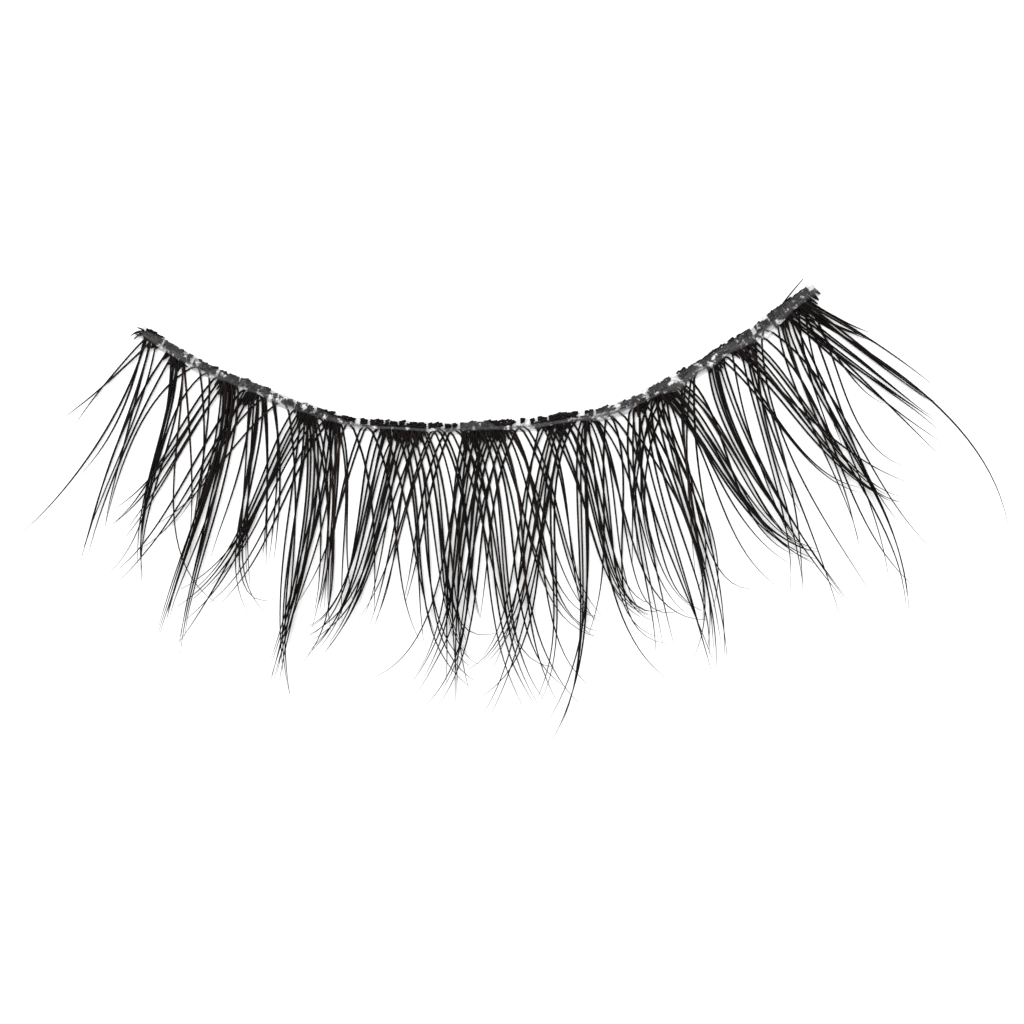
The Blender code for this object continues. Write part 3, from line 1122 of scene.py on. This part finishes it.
@dataclass(frozen=True)
class LashLayer:
    """A layer of lashes: its locks, each grown into separate hairs.

    Attributes:
        name: the piece's name.
        node: the solid that it stands for, or nothing.
        layer: which layer it is.
        locks: its locks.
        grower: what grows the hairs.
        stub: how far hairs lie along the thread at their roots, in mm.
        stub_turn: how fast that start along the thread grows with a lock's lean.
        places: shares of a lock's length at its root, widest, middle, gathered and at its tip.
        knot_share: share of a lock's width at its root.
        middle_share: share of its width at its middle.
        parting: share of its width by which it parts again at its tip.
        fan: how much more a loosely gathered lock fans out.
        turn: sections over which a lock's row turns from the band's way to square across the lock.
        freedom: how freely tips stray for each share of width that is left where the lock gathers.
    """

    name: str
    node: str | None
    layer: Layer
    locks: Sequence[Lock]
    grower: FibreGrower
    stub: float = 0.14
    stub_turn: float = 3.0
    places: tuple[float, ...] = (0.0, 0.15, 0.45, 0.85, 1.0)
    knot_share: float = 0.85
    middle_share: float = 0.85
    parting: float = 0.15
    fan: float = 0.7
    turn: float = 4.0
    freedom: float = 1.8

    def line(self, lock: Lock) -> np.ndarray:
        """Plan points along a lock: a start along the thread, then a smooth run to the tip.

        Args:
            lock: the lock.

        Returns:
            An array of plan points.
        """
        root = BAND.point(lock.root_x)
        tip = np.array((lock.tip_x, lock.tip_y))
        reach = np.linalg.norm(tip - root) / 3
        near = root + heading(lock.root_lean) * reach
        far = tip - heading(lock.tip_lean) * reach
        t = np.linspace(0.0, 1.0, self.grower.sections)[:, None]
        s = 1 - t
        curve = s**3 * root + 3 * s * s * t * near + 3 * s * t * t * far + t**3 * tip
        tangent = BAND.tangent(lock.root_x)
        side = np.clip(self.stub_turn * float(tangent @ heading(lock.root_lean)), -1.0, 1.0)
        return np.vstack((root - tangent * side * self.stub, curve))

    def spreads(self, lock: Lock) -> np.ndarray:
        """Half widths along a lock: drawn in at the knot, widest, gathered, then parting at the tip.

        Args:
            lock: the lock.

        Returns:
            One half width in mm for each of the lock's points.
        """
        parted = lock.gather + self.parting
        shares = (self.knot_share, 1.0, self.middle_share, lock.gather, parted)
        smooth = np.interp(np.linspace(0.0, 1.0, self.grower.sections), self.places, shares)
        width = lock.width * (1.0 + self.fan * lock.gather)
        return np.concatenate(((self.knot_share,), smooth)) * width / 2

    def guides(self) -> list[Guide]:
        """Make the guide lines of the locks, curled up from the surface.

        Returns:
            One guide for each lock.
        """
        found = []
        for lock in self.locks:
            plan = self.line(lock)
            heights = CURL.heights(BAND.distances(plan), self.layer)
            turned = np.clip(np.arange(len(plan)) / self.turn, 0.0, 1.0)[:, None]
            sides = (1 - turned) * BAND.tangent(lock.root_x) + turned * across(plan)
            sides /= np.linalg.norm(sides, axis=1)[:, None]
            points = np.column_stack((plan, heights))
            loose = min(1.0, self.freedom * lock.gather)
            found.append(Guide(points, lock.hairs, self.spreads(lock), sides, loose))
        return found

    def build(self, material: bpy.types.Material) -> bpy.types.Object:
        """Grow the layer's hairs in a finish."""
        piece = self.grower.grow(self.name, self.guides(), material)
        return settled(piece, self.node)


@dataclass(frozen=True)
class KnotRoots:
    """The short, thick fibres of the knots, which fill the roots of the lashes below the thread.

    Attributes:
        spacing: distance between fibres along the band, in mm.
        height: height of their middle above the surface, in mm.
        lean: how far they lean to either side in degrees.
        above: how far above the band's centre line they start, in mm.
        fewest: how many a narrow knot has.
        edge_share: share of a knot's reach that those at its edges have.
        lengths: range of the share of its length that each has by chance.
        grower: what grows them.
    """

    spacing: float = 0.07
    height: float = 0.46
    lean: float = 22.0
    above: float = 0.1
    fewest: int = 3
    edge_share: float = 0.45
    lengths: tuple[float, float] = (0.75, 1.1)
    grower: FibreGrower = FibreGrower(
        0.08, taper=0.65, stray=0.0, bow=0.0, lift=0.12, tip_lift=-0.05, sections=7
    )

    def guides(self) -> list[Guide]:
        """Make the lines of the knots' fibres, longest in the middle of each knot.

        Returns:
            One guide for each fibre.
        """
        chance = np.random.default_rng(self.grower.seed)
        found = []
        for knot in KNOTS:
            width = knot.end_x - knot.start_x
            count = max(self.fewest, round(width / self.spacing))
            for x in np.linspace(knot.start_x, knot.end_x, count):
                middle = 1.0 - (2 * (x - knot.start_x) / width - 1) ** 2
                share = self.edge_share + (1 - self.edge_share) * middle
                length = knot.reach * share * chance.uniform(*self.lengths)
                root, tangent, up = BAND.stand(x)
                turn = math.radians(chance.uniform(-self.lean, self.lean))
                run = (tangent * math.sin(turn) - up * math.cos(turn)) * (length + self.above)
                start = root + up * self.above
                found.append(straight_guide(start, run, self.grower.sections, self.height))
        return found

    def build(self, material: bpy.types.Material) -> bpy.types.Object:
        """Grow the knots' fibres in a finish."""
        return settled(self.grower.grow("knot_roots", self.guides(), material))


@dataclass(frozen=True)
class CutRoots:
    """The row of cut root ends that lean along the band's upper edge.

    Attributes:
        spacing: distance between ends along the band, in mm.
        length: length of an end, in mm.
        slant: angle that an end leans up from the band, in degrees.
        row_gap: distance between rows, in mm.
        height: height of their middle above the surface, in mm.
        slants: range of the share of the slant that each end has by chance.
        lengths: range of the share of the length that each end has by chance.
        stray: how far an end strays from its row, in mm.
        grower: what grows them.
    """

    spacing: float = 0.13
    length: float = 0.2
    slant: float = 22.0
    row_gap: float = 0.07
    height: float = 0.56
    slants: tuple[float, float] = (-0.6, 1.2)
    lengths: tuple[float, float] = (0.8, 1.25)
    stray: float = 0.03
    grower: FibreGrower = FibreGrower(
        0.066,
        taper=0.2,
        taper_power=4.0,
        stray=0.0,
        bow=0.0,
        tip_lift=0.0,
        uneven=0.35,
        sections=5,
        sides=7,
    )

    def guides(self) -> list[Guide]:
        """Make the lines of the cut ends.

        Returns:
            One guide for each end.
        """
        chance = np.random.default_rng(self.grower.seed)
        found = []
        for run in CUT_RUNS:
            count = max(1, round((run.end_x - run.start_x - self.length) / self.spacing) + 1)
            starts = np.linspace(run.start_x, max(run.end_x - self.length, run.start_x), count)
            for x, row in itertools.product(starts, range(run.rows)):
                root, tangent, up = BAND.stand(x)
                turn = math.radians(self.slant * chance.uniform(*self.slants))
                way = tangent * math.cos(turn) + up * math.sin(turn)
                end = way * self.length * chance.uniform(*self.lengths)
                rise = run.rise + (row - (run.rows - 1) / 2) * self.row_gap
                rise += chance.uniform(-self.stray, self.stray)
                start = root + up * rise
                found.append(straight_guide(start, end, self.grower.sections, self.height))
        return found

    def build(self, material: bpy.types.Material) -> bpy.types.Object:
        """Grow the cut ends in a finish."""
        return settled(self.grower.grow("cut_roots", self.guides(), material))


@dataclass(frozen=True)
class BandThread:
    """The clear nylon thread that the lashes are knotted on: two twisted plies along the band.

    Attributes:
        twist: radius of the twist, in mm.
        pitch: length of one turn, in mm.
        offset: how far it lies up the plan from the band's centre line, in mm.
        height: height of its middle above the surface, in mm.
        grower: what grows its plies.
    """

    twist: float = 0.035
    pitch: float = 0.42
    offset: float = -0.05
    height: float = 0.64
    grower: FibreGrower = FibreGrower(
        0.036,
        taper=0.0,
        stray=0.0,
        weave=0.0,
        bow=0.0,
        lift=0.0,
        tip_lift=0.0,
        shortest=1.0,
        sections=700,
        sides=6,
    )

    def guides(self) -> list[Guide]:
        """Make the lines of the two plies.

        Returns:
            One guide for each ply.
        """
        found = []
        for ply in (0.0, math.pi):
            xs = np.linspace(BAND_STATIONS[0].x, BAND_STATIONS[-1].x, self.grower.sections)
            plan, heights = [], []
            for x in xs:
                middle, _, up = BAND.stand(x)
                angle = ply + math.tau * x / self.pitch
                plan.append(middle + up * (self.offset + self.twist * math.cos(angle)))
                heights.append(self.height + self.twist * math.sin(angle))
            found.append(lone_guide(np.array(plan), heights))
        return found

    def build(self, material: bpy.types.Material) -> bpy.types.Object:
        """Twist the thread in a finish."""
        return settled(self.grower.grow("band_thread", self.guides(), material))


@dataclass(frozen=True)
class ClearStrip:
    """A clear strip along the band: a closed, flat section swept along it, with a lumpy surface.

    Attributes:
        name: the piece's name.
        node: the solid that it stands for.
        slot: a material slot name, which is not used.
        stations: its sections.
        bottom: height of its underside above the surface, in mm.
        squareness: power that squares its section's corners.
        lump: how far its surface is lumpy, in mm.
        lumps: how many lumps there are to a metre.
        sections: sections along it.
        around: points round a section.
    """

    name: str
    node: str
    slot: str
    stations: Sequence[StripStation]
    bottom: float
    squareness: float
    lump: float
    lumps: float
    sections: int = 420
    around: int = 18

    def ring(self, x: float) -> np.ndarray:
        """Points of the section at a place.

        Args:
            x: place along the strip.

        Returns:
            An array of points in mm.
        """
        places = [station.x for station in self.stations]
        above, below, thickness = (
            float(np.interp(x, places, [getattr(station, part) for station in self.stations]))
            for part in ("above", "below", "thickness")
        )
        middle, _, up = BAND.stand(x)
        angles = np.arange(self.around) * math.tau / self.around
        cosines, sines = np.cos(angles), np.sin(angles)
        wide = np.sign(cosines) * np.abs(cosines) ** self.squareness
        high = np.sign(sines) * np.abs(sines) ** self.squareness
        plan = middle + np.outer((above + below) / 2 + wide * (above - below) / 2, up)
        return np.column_stack((plan, self.bottom + thickness / 2 * (1 + high)))

    def base(self) -> bpy.types.Mesh:
        """Make the strip's closed mesh before its surface is roughened.

        Returns:
            The mesh.
        """
        xs = np.linspace(self.stations[0].x, self.stations[-1].x, self.sections)
        points = np.vstack([self.ring(x) for x in xs]) * MM
        n = self.around
        faces = [
            (r * n + k, r * n + (k + 1) % n, (r + 1) * n + (k + 1) % n, (r + 1) * n + k)
            for r in range(self.sections - 1)
            for k in range(n)
        ]
        faces.append(tuple(range(n))[::-1])
        faces.append(tuple((self.sections - 1) * n + k for k in range(n)))
        mesh = bpy.data.meshes.new(self.name + "_base")
        mesh.from_pydata(points.tolist(), [], faces)
        return mesh

    def build(self, material: bpy.types.Material) -> bpy.types.Object:
        """Build the strip.

        Args:
            material: its finish.

        Returns:
            The piece's object.
        """
        inputs = {"Lump height": self.lump * MM, "Lumps": self.lumps, "Finish": material}
        hand = GeometryTree(self.name, inputs)
        read = hand.read
        place = hand.add("GeometryNodeInputPosition").outputs[0]
        noise = hand.noise(place, read["Lumps"], detail=3.0, roughness=0.5)
        centred = hand.vector("SUBTRACT", noise.outputs["Color"], (0.5, 0.5, 0.5))
        offset = hand.vector("SCALE", centred, hand.product(read["Lump height"], 2.0))
        moved = {"Geometry": read["Geometry"], "Offset": offset}
        hand.close(hand.add("GeometryNodeSetPosition", moved).outputs[0])
        return settled(hand.piece(self.base(), material), self.node)


@dataclass(frozen=True)
class Studio:
    """The white sweep, the soft lights and the camera straight above.

    Attributes:
        photo_px: side of the photo's frame in pixels.
        px_per_mm: the photo's scale.
        origin_px: where the origin lies in the photo.
        camera_height: the camera's height in metres.
        sensor: the camera's sensor width in mm.
        clip: nearest and furthest that the camera sees, in metres.
        floor_size: side of the floor in metres.
        ambient: strength of the light from all around.
    """

    photo_px: int = 1024
    px_per_mm: float = 22.0
    origin_px: tuple[float, float] = (480.0, 428.0)
    camera_height: float = 0.6
    sensor: float = 36.0
    clip: tuple[float, float] = (0.01, 20.0)
    floor_size: float = 8.0
    ambient: float = 0.38

    def add_camera(self) -> None:
        """Put the camera straight above the strip, framed as in the photo."""
        middle = self.photo_px / 2
        x = (middle - self.origin_px[0]) / self.px_per_mm * MM
        y = (self.origin_px[1] - middle) / self.px_per_mm * MM
        seen = self.photo_px / self.px_per_mm * MM
        data = bpy.data.cameras.new("camera")
        data.sensor_width = self.sensor
        data.lens = self.sensor * self.camera_height / seen
        data.clip_start, data.clip_end = self.clip
        camera = bpy.data.objects.new("camera", data)
        camera.location = (x, y, self.camera_height)
        bpy.context.scene.collection.objects.link(camera)
        bpy.context.scene.camera = camera

    def add_floor(self) -> None:
        """Lay the floor just under the strip."""
        half = self.floor_size / 2
        corners = [(-half, -half, 0.0), (half, -half, 0.0), (half, half, 0.0), (-half, half, 0.0)]
        mesh = bpy.data.meshes.new("floor")
        mesh.from_pydata(corners, [], [(0, 1, 2, 3)])
        mesh.materials.append(FloorFinish().material("white_sweep"))
        linked("floor", mesh)

    def add_light(self, lamp: Lamp) -> None:
        """Hang one soft light, turned to the strip.

        Args:
            lamp: the light.
        """
        data = bpy.data.lights.new(lamp.name, "AREA")
        data.size = lamp.size
        data.energy = lamp.power
        light = bpy.data.objects.new(lamp.name, data)
        light.location = lamp.place
        light.rotation_euler = (-Vector(lamp.place)).to_track_quat("-Z", "Y").to_euler()
        bpy.context.scene.collection.objects.link(light)

    def build(self) -> None:
        """Set up the whole studio."""
        self.add_camera()
        self.add_floor()
        world = bpy.data.worlds.new("studio")
        world.use_nodes = True
        background = world.node_tree.nodes["Background"]
        background.inputs["Color"].default_value = (1.0, 1.0, 1.0, 1.0)
        background.inputs["Strength"].default_value = self.ambient
        bpy.context.scene.world = world
        for lamp in LAMPS:
            self.add_light(lamp)
        bpy.context.scene.view_settings.view_transform = "Standard"


def main() -> None:
    """Build the strip's pieces in order and report each one."""
    logging.basicConfig(level=logging.INFO, format="%(name)s: %(message)s")
    Studio().build()
    hair = HairFinish().material("lash_hair")
    # The clear finishes' clouded patches also stand for painted glints, and each has a painted grey
    # outline at its edges.
    clear = ClearFinish(colour=(0.5, 0.5, 0.52), veil=0.16, density=0.25, painted_edge_shade=0.1)
    band = clear.material("clear_band")
    thread = ClearFinish(
        colour=(0.06, 0.06, 0.065),
        veil=0.12,
        cloud_and_glint_colour=(0.3, 0.3, 0.31),
        cloud_and_glint_share=0.4,
        density=0.15,
        painted_edge_shade=0.12,
    ).material("clear_thread")
    glue = ClearFinish().material("clear_glue")
    ribbon = ClearStrip(
        "clear_ribbon",
        "carrier_band",
        "clear_band",
        CARRIER_STATIONS,
        bottom=0.0,
        squareness=0.35,
        lump=0.012,
        lumps=900.0,
    )
    film = ClearStrip(
        "set_glue",
        "glue_film",
        "clear_glue",
        FILM_STATIONS,
        bottom=0.63,
        squareness=0.6,
        lump=0.035,
        lumps=1500.0,
    )
    fine = FibreGrower(0.049, seed=11)
    crossed = LashLayer("crossed_hairs", "crossed_lashes", Layer.CROSSED, CROSSED_LOCKS, fine)
    thick = FibreGrower(0.05, taper_power=3.2, seed=47)
    clusters = LashLayer("cluster_hairs", "cluster_lashes", Layer.CLUSTER, CLUSTER_LOCKS, thick)
    single = FibreGrower(0.042, taper=0.5, seed=5)
    jobs = (
        (ribbon, band),
        (crossed, hair),
        (clusters, hair),
        (LashLayer("loose_fibres", None, Layer.CLUSTER, LOOSE_FIBRES, single), hair),
        (KnotRoots(), hair),
        (CutRoots(), hair),
        (BandThread(), thread),
        (film, glue),
    )
    for job, material in jobs:
        piece = job.build(material)
        LOG.info("%s: %d faces", piece.name, len(piece.data.polygons))


if __name__ == "__main__":
    main()
